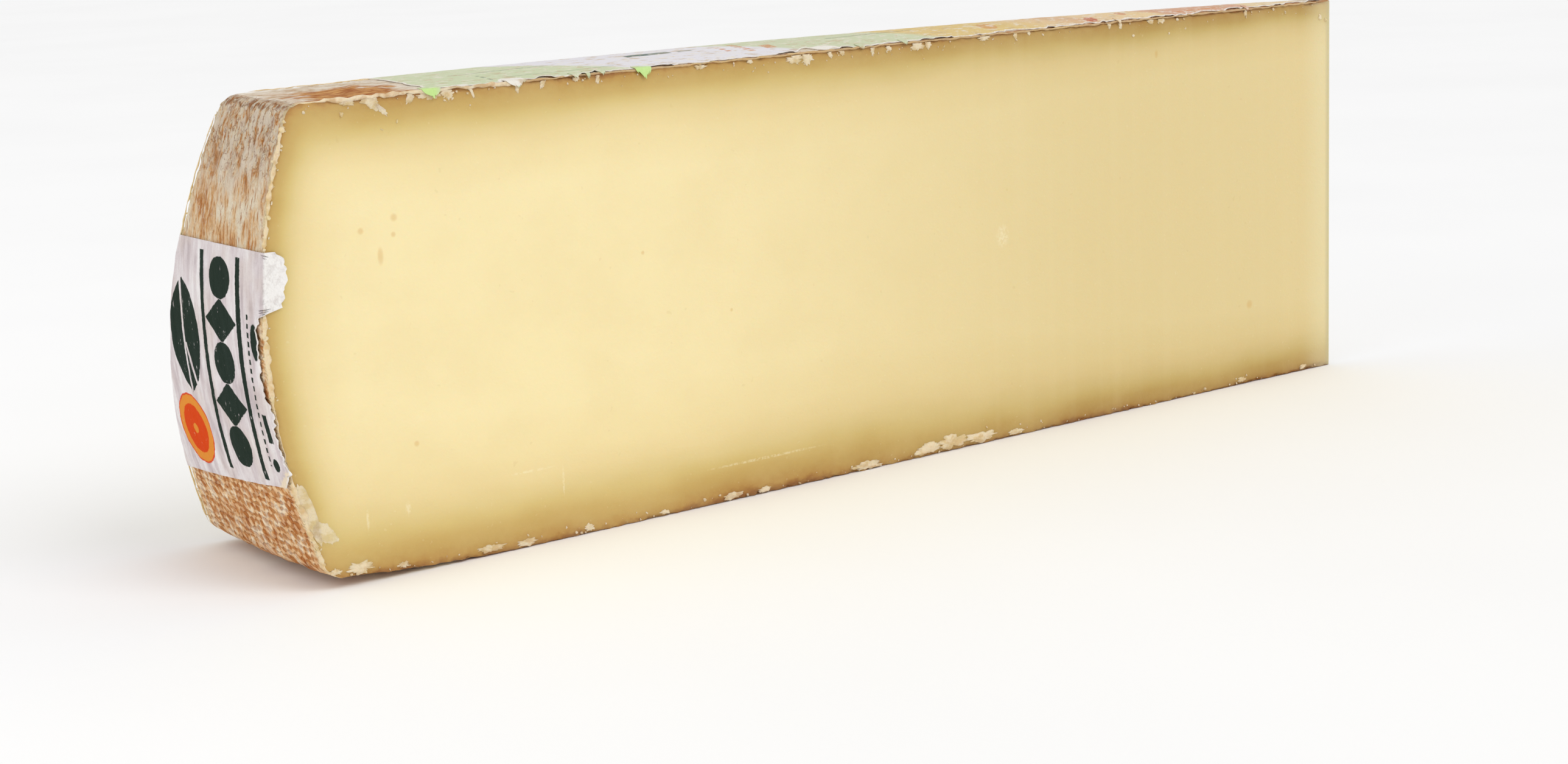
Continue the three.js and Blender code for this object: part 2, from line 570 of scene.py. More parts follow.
@dataclass(frozen=True)
class PasteFinish:
    """Waxy pale paste that darkens through ochre to amber just under the rind."""

    reach_mm: float = 30.0
    core: tuple[tuple[float, Colour], ...] = (
        (0.0, tint(150, 98, 46)),
        (0.02, tint(168, 120, 58)),
        (0.045, tint(186, 145, 76)),
        (0.10, tint(195, 161, 91)),
        (0.165, tint(203, 172, 101)),
        (0.235, tint(215, 190, 121)),
        (0.31, tint(225, 203, 141)),
        (0.41, tint(235, 214, 157)),
        (0.54, tint(241, 222, 167)),
        (0.84, tint(246, 229, 177)),
    )
    bruises: tuple[Spot, ...] = (
        Spot(294.1, 74.7, 0.7),
        Spot(294.4, 71.2, 0.5),
        Spot(297.7, 67.0, 0.6, 2.6),
        Spot(302.0, 72.6, 0.6),
        Spot(291.9, 26.7, 0.55),
        Spot(68.0, 90.9, 0.5, 1.8),
        Spot(32.8, 21.4, 1.0),
        Spot(232.0, 60.0, 0.4),
        Spot(208.0, 44.0, 0.35),
    )
    scuffs: tuple[Spot, ...] = (
        Spot(123.3, 50.7, 1.7, 1.3),
        Spot(304.6, 11.8, 0.3, 6.0),
        Spot(294.9, 13.1, 0.6, 2.2),
        Spot(255.8, 13.0, 0.25, 11.0),
        Spot(264.0, 16.6, 5.0, 0.05),
        Spot(200.0, 8.4, 14.0, 0.02),
    )

    def marks(self, make: Recipe, spots: Sequence[Spot]) -> Term:
        """Coverage of all the spots together."""
        radius, across, height = make.rows("wheel_mm")
        total: Value = 0.0
        for spot in spots:
            aside = (radius - spot.radius) / spot.size
            above = (height - spot.height) / (spot.size * spot.tall)
            square = aside * aside + above * above
            behind = square + across * 40.0
            total = make.most(total, make.ease(behind, 2.2, 0.0))
        return total

    def by_depth(self, make: Recipe) -> Term:
        """The paste's colour by its depth under the rind."""
        radius, _, height = make.rows("wheel_mm")
        heel = rim_depth(radius, height)
        lids = make.math("SMOOTH_MIN", (100.0 - height) * 1.14, height * 0.8, 10.0)
        lids = lids * make.ease(radius, 190.0, 20.0, 1.0, 1.55)
        depth = make.math("SMOOTH_MIN", lids, heel * 1.25 + 1.8, 9.0)
        broad = make.sway(5.0, (34.0, 34.0, 16.0), 2.0)
        fine = make.sway(2.6, (2.2, 2.2, 1.6), 3.0)
        depth = depth + (broad + fine * make.ease(depth, 7.0, 0.5))
        return make.ramp(make.most(depth, 0.0) / self.reach_mm, self.core)

    def build(self) -> bpy.types.Material:
        """Makes the material."""
        make = Recipe("paste")
        radius, _, _ = make.rows("wheel_mm")
        colour = self.by_depth(make)
        # Painted shade: the paste is darkened and greyed towards the tip for the light that falls off across
        # the cut face.
        tip_falloff_shade = make.ease(radius, 255.0, 70.0)
        colour = make.mix(tip_falloff_shade, colour, make.mix(1.0, colour, tint(234, 229, 217), "MULTIPLY"))
        drag = make.noise((5.0, 5.0, 260.0), 2.0) * make.ease(radius, 230.0, 120.0)
        bruised = self.marks(make, self.bruises)
        scuffed = self.marks(make, self.scuffs) * make.ease(make.noise((0.8, 0.8, 0.8), 3.0), 0.38, 0.6)
        dragged = make.ease(drag, 0.45, 0.75, 0.0, 0.04)
        cloudy = make.ease(make.noise((18.0, 18.0, 14.0), 4.0), 0.35, 0.7, 0.0, 0.16)
        flecks = make.ease(make.noise((0.9, 0.9, 0.9), 1.0), 0.72, 0.8, 0.0, 0.12)
        specks = make.ease(make.noise((1.3, 1.3, 1.2), 0.0), 0.82, 0.88, 0.0, 0.12)
        # Painted shade: the thin tip, where light passes through the paste, is painted greyer and darker.
        thin_tip_shade = make.ease(radius, 13.0, 2.0, 0.0, 0.4)
        tip = make.ease(radius, 2.2, 0.4, 0.0, 0.6)
        colour = make.coats(
            colour,
            (dragged, tint(247, 232, 190)),
            (cloudy, tint(226, 204, 146)),
            (flecks, tint(250, 240, 205)),
            (specks, tint(196, 168, 104)),
            (thin_tip_shade, tint(232, 224, 180)),
            (tip, tint(188, 180, 142)),
            (bruised * 0.34, tint(210, 160, 76)),
            (scuffed * 0.34, tint(252, 243, 212)),
        )
        dents = make.noise((0.8, 0.8, 0.6), 4.0) * 0.5 - bruised * 0.12
        relief = make.bump(dents, 0.16)
        rough = make.ease(make.noise((6.0, 6.0, 5.0), 3.0), 0.3, 0.7, 0.44, 0.56)
        glow = {"Subsurface_Weight": 0.22, "Subsurface_Radius": (1.0, 0.62, 0.28), "Subsurface_Scale": 0.0035}
        return make.finish(colour, rough, relief, Specular_IOR_Level=0.35, **glow)


@dataclass(frozen=True)
class RindFinish:
    """Dry washed rind: greyish cream and tan, browner in its grooves, marked by its pressing cloth."""

    cream: Colour = tint(254, 238, 210)
    grey: Colour = tint(226, 214, 196)
    tan: Colour = tint(246, 200, 146)
    orange: Colour = tint(222, 146, 76)
    brown: Colour = tint(170, 98, 42)
    weft_mm: float = 1.5
    warp_mm: float = 2.3

    def weave(self, make: Recipe) -> Term:
        """The imprint of the cloth: small dimples in slanting rows, 0 in a dimple and 1 between."""
        drift = make.sway(3.0, (3.6, 3.6, 3.6), 4.0)
        turn = 2 * math.pi
        warp = (make.along((0.2, 1.0, 0.3)) + drift) * (turn / self.warp_mm)
        weft = (make.along((0.5, -0.1, 1.0)) + drift) * (turn / self.weft_mm)
        both = make.math("SINE", warp) * 0.45 + make.math("SINE", weft) * 0.55
        return make.ease(both, 0.75, -0.55)

    def lower(self, make: Recipe) -> Term:
        """Colour of the heel below the band: orange-brown with pale patches."""
        patches = make.noise((4.5, 3.0, 3.6), 5.0, 0.65)
        darker = ((0.35, tint(156, 82, 32)), (0.43, tint(204, 130, 66)))
        return make.ramp(patches, (*darker, (0.52, tint(234, 182, 122)), (0.59, self.cream)))

    def upper(self, make: Recipe, wrinkles: Term, broad: Term) -> Term:
        """Colour of the wrinkled heel above the band: cream with brown in its folds."""
        folds = ((0.35, self.brown), (0.41, self.orange), (0.46, self.tan), (0.5, tint(252, 226, 186)))
        return make.coats(
            make.ramp(wrinkles, (*folds, (0.56, self.cream))),
            (make.ease(broad, 0.46, 0.38, 0.0, 0.7), tint(220, 152, 90)),
            (make.ease(broad, 0.49, 0.57, 0.0, 0.9), tint(255, 238, 214)),
        )

    def top(self, make: Recipe) -> Term:
        """Colour of the bare top between the label and the rim."""
        patches = make.noise((4.0, 1.8, 4.0), 5.0, 0.65)
        darker = ((0.28, tint(170, 126, 82)), (0.39, tint(206, 184, 156)))
        return make.ramp(patches, (*darker, (0.52, self.grey), (0.68, tint(236, 226, 210))))

    def stain(self, make: Recipe, radius: Term, across: Term) -> tuple[Term, Term]:
        """Share and colour of the brown stain on the bare top, near the front cut."""
        place = (1.0 - abs((radius - 299.0) / 20)) * make.ease(across, 0.95, 0.35)
        share = make.ease(place + make.sway(1.2, (7.0, 2.0, 7.0), 4.0), 0.36, 0.56)
        shades = ((0.36, tint(158, 88, 40)), (0.62, tint(208, 156, 96)))
        return share, make.ramp(make.noise((3.2, 1.0, 3.2), 4.0), shades)

    def creases(self, make: Recipe, height: Term, inward: Term, wrinkles: Term) -> Term:
        """Coverage of the thin dark creases on the upper heel and along its top corner."""
        waved = height + make.sway(6.0, (4.2, 3.2, 4.2), 5.0, 0.6)
        corner = make.ease(abs(waved - 98.9), 0.9, 0.1, 0.0, 0.8) * make.ease(wrinkles, 0.58, 0.48)
        veins = abs(make.noise((3.2, 2.4, 5.0), 3.0, 0.6) - 0.5)
        veins = make.ease(veins, 0.026, 0.004, 0.0, 0.6) * make.ease(height, 80.0, 90.0)
        return make.most(corner, veins) * make.ease(inward, 3.4, 2.2)

    def build(self) -> bpy.types.Material:
        """Makes the material."""
        make = Recipe("rind")
        radius, across, height = make.rows("wheel_mm")
        relief_mm = make.row("relief_mm")
        inward = rim_depth(radius, height)
        side = make.ease(inward, 2.6, 1.0)
        on_top = (1.0 - side) * make.ease(height, 60.0, 90.0)
        upper = side * make.ease(height, 78.0, 90.0)
        low = make.ease(height, 62.0, 50.0)
        patches = make.noise((7.0, 4.0, 8.0), 4.0, 0.6)
        wrinkles = make.noise((1.3, 0.9, 2.8), 7.0, 0.7)
        broad = make.noise((2.4, 1.5, 4.6), 5.0, 0.6)
        fibres = make.noise((0.7, 0.55, 5.0), 4.0, 0.7)
        on_fibres = side * (1.0 - low * 0.8)
        dark = make.ease(fibres, 0.46, 0.39, 0.0, 0.8) * (on_fibres * (1.0 - upper * 0.3))
        weave = self.weave(make)
        cloth = (1.0 - weave) * (low * 0.75 + on_top * 0.1)
        stain, stained = self.stain(make, radius, across)
        creases = self.creases(make, height, inward, wrinkles)
        to_cut = make.least(across, 1.0 - across) * (radius * 0.12)
        crumbly = to_cut + make.sway(2.6, (0.9, 0.9, 1.3), 3.0)
        edge_colour = make.mix(make.ease(radius, 286.0, 281.0), tint(246, 224, 178), tint(176, 116, 58))
        middle = ((0.34, tint(200, 128, 64)), (0.43, tint(234, 182, 124)), (0.54, tint(244, 206, 158)))
        colour = make.coats(
            make.ramp(patches, (*middle, (0.62, self.cream))),
            (low, self.lower(make)),
            (upper, self.upper(make, wrinkles, broad)),
            (on_top, self.top(make)),
            (make.ease(fibres, 0.51, 0.57, 0.0, 0.6) * on_fibres, self.cream),
            (dark, tint(190, 118, 58)),
            (cloth * make.ease(patches, 0.66, 0.45, 0.2, 1.0), tint(178, 110, 52)),
            (make.ease(weave, 0.6, 1.0, 0.0, 0.42) * low, tint(244, 214, 172)),
            (make.ease(relief_mm, -0.15, -0.7, 0.0, 0.6), tint(200, 132, 72)),
            (make.ease(relief_mm, 0.05, 0.4, 0.0, 0.75), tint(250, 236, 214)),
            (stain * on_top, stained),
            (make.ease(broad, 0.49, 0.57, 0.0, 0.65) * upper, tint(255, 237, 214)),
            (creases, tint(170, 104, 52)),
            (make.ease(crumbly, 1.7, 0.6, 0.0, 0.85), edge_colour),
        )
        grain = make.noise((0.5, 0.5, 0.5), 3.0, 0.6) * 0.4
        folds = (wrinkles + broad * 1.5) * (upper * 1.1)
        ribs = fibres * on_fibres * 1.4 + folds
        imprint = weave * (low * 0.55 + on_top * 0.15)
        relief = make.bump(grain + ribs - creases * 0.25 + imprint, 0.85)
        rough = make.ease(patches, 0.3, 0.7, 0.74, 0.9)
        return make.finish(colour, rough, relief, Specular_IOR_Level=0.16)


class Ink:
    """Plain printed shapes on a sheet, as coverage from 0 to 1."""

    def __init__(self, make: Recipe, aside: Term, above: Term, edge: float = 0.09) -> None:
        """Takes the sheet's two coordinates in millimetres, with the ink's slightly uneven edge."""
        bleed = make.sway(0.35, (0.7, 0.7, 0.7), 2.0)
        self.make = make
        self.aside = aside + bleed
        self.above = above + bleed
        self.edge = edge

    def cover(self, distance: Term) -> Term:
        """Full coverage inside a zero distance."""
        return self.make.ease(distance, self.edge, -self.edge)

    def disc(self, aside: float, above: float, size: float, tall: float = 1.0) -> Term:
        """A disc, or an oval when it is taller than wide."""
        make = self.make
        run = self.aside - aside
        rise = (self.above - above) / tall
        span = make.length(run, rise)
        return self.cover(span - size)

    def bar(self, left: float, right: float, foot: float, top: float, lean: float = 0.0) -> Term:
        """An upright bar, leaning aside by a share of its height."""
        make = self.make
        upright = self.aside - (self.above - foot) * lean
        wide = abs(upright - (left + right) / 2) - (right - left) / 2
        high = abs(self.above - (foot + top) / 2) - (top - foot) / 2
        return self.cover(make.most(wide, high))

    def dashes(self, left: float, right: float, foot: float, top: float, pitch: float) -> Term:
        """A column of short dashes."""
        make = self.make
        cell = make.math("WRAP", self.above, pitch, 0.0)
        gaps = self.cover(abs(cell - pitch / 2) - pitch * 0.3)
        return self.bar(left, right, foot, top) * gaps

    def row_of_shapes(self, aside: float, foot: float, top: float, pitch: float, size: float) -> Term:
        """Solid discs and diamonds in turn, one above another."""
        make = self.make
        count = (self.above - foot) / pitch
        rise = (make.math("FRACT", count) - 0.5) * pitch
        run = self.aside - aside
        disc = make.length(run, rise) - size
        steep = abs(run * 0.72) + abs(rise)
        diamond = (steep - size * 1.08) * 0.8
        odd = make.math("PINGPONG", make.math("FLOOR", count), 1.0)
        either = disc * (1.0 - odd) + diamond * odd
        within = self.bar(aside - 2 * size, aside + 2 * size, foot, top)
        return self.cover(either) * within


@dataclass(frozen=True)
class BandFinish:
    """Thin greyish paper with soft creases, printed with plain dark green and orange shapes. The light and
    shade on its creases are painted in, and its end folded on to the front cut is painted paler for the light
    on the cut.
    """

    paper: Colour = tint(220, 209, 210)
    # Painted highlight and painted shade of the paper's crinkles.
    crinkle_highlight: Colour = tint(244, 240, 239)
    shade: Colour = tint(194, 181, 183)
    corner: Colour = tint(244, 226, 196)
    torn: Colour = tint(246, 243, 240)
    green: Colour = tint(4, 36, 22)
    orange: Colour = tint(232, 150, 60)
    red: Colour = tint(222, 72, 26)

    def build(self) -> bpy.types.Material:
        """Makes the material."""
        make = Recipe("band_paper")
        aside, above, tear = make.rows("sheet_mm")
        # Painted light: the crinkle cloud lays painted highlights and painted shade over the paper as lighter
        # and darker streaks.
        cloud = make.noise((3.0, 2.6, 16.0), 4.0, 0.6)
        colour = make.ramp(cloud, ((0.3, self.shade), (0.46, self.paper), (0.68, self.crinkle_highlight)))
        warm = make.ease(make.noise((9.0, 9.0, 12.0), 3.0), 0.46, 0.66, 0.0, 0.3)
        ink = Ink(make, aside, above)
        greens = (
            ink.bar(9.0, 10.6, 20.5, 68.2),
            ink.bar(24.6, 26.2, 20.5, 68.2),
            ink.row_of_shapes(17.6, 22.0, 67.6, 9.12, 4.5),
            ink.dashes(6.0, 6.7, 24.0, 57.0, 1.9),
            ink.bar(2.6, 4.4, 29.5, 35.5, 0.12),
            ink.disc(3.9, 51.0, 1.5, 2.6),
            ink.disc(3.8, 24.6, 1.1, 1.3),
        )
        petal = make.least(ink.disc(27.4, 48.6, 15.0), ink.disc(43.2, 48.6, 15.0))
        rib = make.most(ink.bar(35.0, 35.9, 36.0, 62.0, 0.03), ink.bar(31.0, 31.8, 35.0, 47.0, 0.3))
        green = petal * (1.0 - rib)
        for shape in greens:
            green = make.most(green, shape)
        worn = make.ease(make.noise((1.1, 1.1, 2.6), 4.0, 0.7), 0.27, 0.36, 0.25, 0.97)
        colour = make.coats(colour, (warm, tint(214, 196, 182)), (green * worn, self.green))
        for size, hue in ((8.2, self.red), (7.8, self.orange), (5.7, self.red), (1.2, self.orange)):
            colour = make.mix(ink.disc(38.7, 27.2, size, 0.96) * worn, colour, hue)
        corner = aside + (above - 20.0) + make.noise((1.6, 1.6, 1.6), 4.0) * 5.0
        frayed = tear + make.sway(1.8, (0.6, 0.6, 0.9), 3.0)
        # Painted light: the band's end folded on to the front cut is painted paler than the rest of the band,
        # for the stronger light on the cut. Its pale stop is the torn-fibre white.
        lit_flap_tones = ((0.34, tint(222, 216, 213)), (0.52, self.torn))
        flap = make.ramp(make.noise((1.3, 1.3, 1.9), 5.0, 0.7), lit_flap_tones)
        colour = make.coats(
            colour,
            (make.ease(corner, 7.6, 6.4, 0.0, 0.85), self.corner),
            (make.ease(frayed, 0.55, 0.05, 0.0, 0.8), self.torn),
            (make.ease(aside, 0.25, -0.35), flap),
        )
        fibres = make.noise((0.35, 0.35, 0.6), 3.0, 0.6) + cloud * 1.6
        relief = make.bump(fibres + make.noise((1.3, 1.0, 4.0), 4.0), 0.3)
        return make.finish(colour, make.ease(cloud, 0.3, 0.7, 0.7, 0.85), relief, Specular_IOR_Level=0.03)


@dataclass(frozen=True)
class LabelFinish:
    """Thin paper printed in worn fields of pale green, white, yellow-orange and peach."""

    fields: tuple[tuple[float, Colour], ...] = (
        (0.0, tint(206, 196, 184)),
        (9.0, tint(206, 192, 172)),
        (12.0, tint(228, 204, 164)),
        (29.0, tint(228, 206, 166)),
        (31.0, tint(214, 168, 140)),
        (60.0, tint(212, 166, 138)),
        (64.0, tint(230, 203, 155)),
        (84.0, tint(228, 200, 158)),
        (88.0, tint(216, 176, 138)),
        (98.0, tint(226, 196, 152)),
        (111.0, tint(222, 194, 128)),
        (138.0, tint(222, 196, 134)),
        (142.0, tint(206, 211, 177)),
        (179.0, tint(205, 210, 177)),
        (182.0, tint(228, 225, 230)),
        (229.0, tint(228, 225, 230)),
        (231.0, tint(205, 212, 177)),
        (284.0, tint(203, 212, 174)),
    )
    reach_mm: float = 285.0
    lime: Colour = tint(196, 232, 140)
    torn: Colour = tint(240, 234, 226)

    def build(self) -> bpy.types.Material:
        """Makes the material."""
        make = Recipe("label_paper")
        along, aside, tear = make.rows("sheet_mm")
        jitter = make.sway(1.6, (2.5, 2.5, 2.5), 3.0)
        slanted = along - aside * 1.3 + jitter
        stops = tuple((place / self.reach_mm, hue) for place, hue in self.fields)
        colour = make.ramp(slanted / self.reach_mm, stops)
        ink = Ink(make, along, aside, 0.15)
        deep, rust, red = tint(62, 92, 76), tint(206, 132, 74), tint(190, 82, 56)
        marks = (
            (ink.bar(213.0, 225.0, 11.5, 14.0), deep, 0.85),
            (ink.bar(207.0, 211.0, 11.5, 13.0), deep, 0.6),
            (ink.dashes(194.0, 196.0, 5.0, 14.0, 1.6), rust, 0.8),
            (ink.dashes(199.5, 201.0, 6.0, 13.0, 2.1), rust, 0.7),
            (ink.bar(187.0, 190.0, 6.0, 9.5), rust, 0.7),
            (ink.bar(246.0, 271.0, 12.5, 13.1), deep, 0.45),
            (ink.bar(143.0, 170.0, 9.0, 9.5), deep, 0.5),
            (ink.disc(89.0, 2.6, 2.0, 0.8), red, 0.9),
            (ink.disc(122.0, 5.4, 2.6), rust, 0.55),
            (ink.bar(42.0, 58.0, 1.8, 2.4), rust, 0.6),
            (ink.disc(263.0, 0.6, 3.2, 0.9), self.torn, 0.9),
            (ink.disc(276.0, 1.0, 2.0, 0.5), self.torn, 0.8),
            (ink.disc(177.0, 1.2, 4.2, 0.5), self.torn, 0.9),
            (ink.bar(234.0, 262.0, 4.4, 4.8, 0.02), deep, 0.35),
            (ink.dashes(266.0, 266.8, 2.4, 9.0, 2.6), deep, 0.6),
            (ink.disc(76.0, 5.0, 1.6), red, 0.5),
        )
        for shape, hue, strength in marks:
            colour = make.mix(shape * strength, colour, hue)
        worn = make.ease(make.noise((2.6, 1.3, 2.6), 6.0, 0.72), 0.52, 0.62, 0.0, 0.8)
        grime = make.ease(make.noise((4.0, 1.6, 3.0), 5.0, 0.66), 0.47, 0.34, 0.0, 0.65)
        flap = make.ease(along, 225.0, 227.0) * make.ease(along, 235.0, 233.0)
        fresh = make.ease(aside, 0.0, -1.8) * make.most(make.ease(along, 281.0, 283.0), flap)
        frayed = tear + make.sway(1.6, (0.7, 0.7, 0.7), 3.0)
        colour = make.coats(
            colour,
            (worn, tint(232, 224, 210)),
            (grime, tint(196, 170, 132)),
            (fresh * 0.85, self.lime),
            (make.ease(frayed, 0.6, 0.1, 0.0, 0.9), self.torn),
        )
        fibres = make.noise((0.4, 0.4, 0.4), 3.0, 0.6) + make.noise((4.0, 2.0, 2.0)) * 1.5
        relief = make.bump(fibres, 0.15)
        return make.finish(colour, make.ease(worn, 0.0, 1.0, 0.6, 0.8), relief, Specular_IOR_Level=0.15)


@dataclass(frozen=True)
class CrumbFinish:
    """Smeared paste: the paste below it shows through, paler where the smear is thick."""

    pale: Colour = tint(244, 224, 194)
    paste: PasteFinish = PasteFinish()

    def build(self) -> bpy.types.Material:
        """Makes the material."""
        make = Recipe("smeared_paste")
        cloud = make.noise((2.6, 2.6, 1.8), 3.0, 0.55)
        below = make.mix(0.4, self.paste.by_depth(make), tint(236, 208, 160))
        radius, _, height = make.rows("wheel_mm")
        under_label = make.ease(height, 99.75, 99.95) * make.ease(radius, 266.0, 258.0, 0.0, 0.85)
        inner = make.ease(make.least(height, 100.0 - height), 3.5, 6.5, 1.0, 0.3)
        inner = make.most(inner, make.ease(rim_depth(radius, height), 9.0, 7.0, 0.0, 0.85))
        share = make.ease(cloud, 0.36, 0.6, 0.2, 0.8) * (inner * (1.0 - under_label))
        colour = make.mix(share, below, self.pale)
        relief = make.bump(make.noise((0.45, 0.45, 0.4), 3.0), 0.22)
        rough = make.ease(cloud, 0.3, 0.7, 0.42, 0.6)
        glow = {"Subsurface_Weight": 0.25, "Subsurface_Radius": (1.0, 0.6, 0.3), "Subsurface_Scale": 0.002}
        return make.finish(colour, rough, relief, Specular_IOR_Level=0.3, **glow)


@dataclass(frozen=True)
class FloorFinish:
    """Plain pale studio floor."""

    pale: Colour = tint(254, 254, 254)

    def build(self) -> bpy.types.Material:
        """Makes the material."""
        make = Recipe("floor")
        cloud = make.noise((180.0, 180.0, 180.0), 3.0)
        colour = make.mix(make.ease(cloud, 0.3, 0.7), self.pale, tint(252, 252, 252))
        relief = make.bump(make.noise((2.0, 2.0, 2.0)), 0.02)
        return make.finish(colour, 0.85, relief, Specular_IOR_Level=0.1)


# ---------------------------------------------------------------- the pieces


@dataclass
class CheeseBody:
    """The wedge itself: paste between two cuts, with its rind on the top, the heel and the foot."""

    cells: tuple[int, int, int] = (250, 60, 108)
    # Where the rind grows bare beyond each paper, from still covered to bare.
    above_band: tuple[float, float] = (0.066, 0.074)
    below_band: tuple[float, float] = (0.020, 0.012)
    past_label: tuple[float, float] = (0.281, 0.289)
    box: tuple[Array, Array] = field(default_factory=lambda: (np.zeros(3), np.zeros(3)))
    reliefs: tuple[Relief, ...] = (
        Relief("rind", 0.8 * MM, (0.014, 0.012, 0.018), 0.6),
        Relief("upper_heel", 2.1 * MM, (0.0026, 0.0021, 0.0085), 0.5, 3),
        Relief("heel", 0.7 * MM, (0.0022, 0.0018, 0.006), 0.5, 3),
        Relief("top", 0.7 * MM, (0.0045, 0.003, 0.0045), 0.55, 3),
        Relief("cuts", 0.30 * MM, (0.045, 0.045, 0.045), 0.5, 1),
        Relief("arris", 1.5 * MM, (0.0021, 0.0021, 0.0021), 0.72, 3),
    )

    def rows(self, share: Array) -> Array:
        """Heights on the wheel, closer together by the top, the foot and the wrinkled upper heel."""
        lower = ((0.0, 0.0), (0.03, 0.5), (0.32, 19.0), (0.52, 64.0))
        knots = (*lower, (0.62, 72.0), (0.92, 97.2), (1.0, 100.0))
        return np.interp(share, [k[0] for k in knots], [k[1] * MM for k in knots])

    def build(self) -> bpy.types.Object:
        """Shapes the block into the wedge and presses its unevenness in."""
        obj = block("cheese_body", self.cells)
        unit = coordinates(obj)
        along, across, up = unit[:, 0], unit[:, 1], unit[:, 2]
        height = self.rows(up)
        radius = (1 - along) * WHEEL.rim(height)
        heel, tip = along < 1e-6, along > 1 - 1e-6
        front, back = across < 1e-6, across > 1 - 1e-6
        top, foot = up > 1 - 1e-6, up < 1e-6
        set_coordinates(obj, WHEEL.point(radius, across, height))
        set_rows(obj, "wheel_mm", np.column_stack((radius / MM, across, height / MM)))
        on_rind = (heel | top | foot).astype(float)
        cut = front | back
        edge = cut & (heel | top | foot)
        from_cut = np.minimum(across, 1 - across) * WHEEL.width(radius, height)
        inner = smooth(from_cut, 0.0002, 0.003)
        bare = np.maximum(smooth(height, *self.above_band), smooth(height, *self.below_band))
        beyond_label = smooth(radius, *self.past_label)
        calm = np.where(heel, 0.2 + 0.8 * bare, np.where(top, 0.2 + 0.8 * beyond_label, 1.0))
        weigh(obj, "rind", on_rind * (0.25 + 0.75 * inner) * calm)
        weigh(obj, "upper_heel", heel * smooth(height, 0.070, 0.088) * smooth(height, 0.0985, 0.095) * inner)
        weigh(obj, "heel", heel * bare * inner)
        weigh(obj, "top", top * inner * beyond_label)
        depth = np.minimum.reduce([WHEEL.height - height, height, WHEEL.rim(height) - radius])
        weigh(obj, "cuts", cut * smooth(depth, 0.0, 0.006) * smooth(radius, 0.0, 0.02))
        near_edge = np.where(cut, smooth(depth, 0.0016, 0.0), 0.0)
        near_edge = np.maximum(near_edge, on_rind * smooth(from_cut, 0.0012, 0.0) * 0.8)
        weigh(obj, "arris", np.where(edge, 1.0, near_edge) * np.where(tip, 0.3, 1.0))
        normals = np.empty(len(obj.data.vertices) * 3)
        obj.data.vertices.foreach_get("normal", normals)
        before = coordinates(obj)
        for relief in self.reliefs:
            relief.press(obj)
        moved = ((coordinates(obj) - before) * normals.reshape(-1, 3)).sum(axis=1)
        set_rows(obj, "relief_mm", moved / MM)
        low, high = self.box
        set_coordinates(obj, np.clip(coordinates(obj), low, high))
        complete(obj, 50.0, PasteFinish().build(), RindFinish().build())
        self.split_faces(obj, heel | top | foot, cut | tip)
        return obj

    @staticmethod
    def split_faces(obj: bpy.types.Object, rind: Array, paste: Array) -> None:
        """Gives the second finish to faces whose corners all lie on the rind but not all on one cut.

        Args:
            obj: The shaped block, all of whose faces have four corners.
            rind: Whether each vertex lies on a rind face.
            paste: Whether each vertex lies on a cut face.
        """
        corners = np.empty(len(obj.data.polygons) * 4, dtype=np.int32)
        obj.data.polygons.foreach_get("vertices", corners)
        corners = corners.reshape(-1, 4)
        stored = np.empty(len(obj.data.vertices) * 3)
        obj.data.attributes["wheel_mm"].data.foreach_get("vector", stored)
        radius, across, _ = stored.reshape(-1, 3)[corners].transpose(2, 0, 1)
        flat = (np.ptp(across, axis=1) < 1e-5) | (radius.max(axis=1) < 1e-3)
        whole_rind = rind[corners].all(axis=1) & ~(flat & paste[corners].all(axis=1))
        obj.data.polygons.foreach_set("material_index", whole_rind.astype(np.int32))


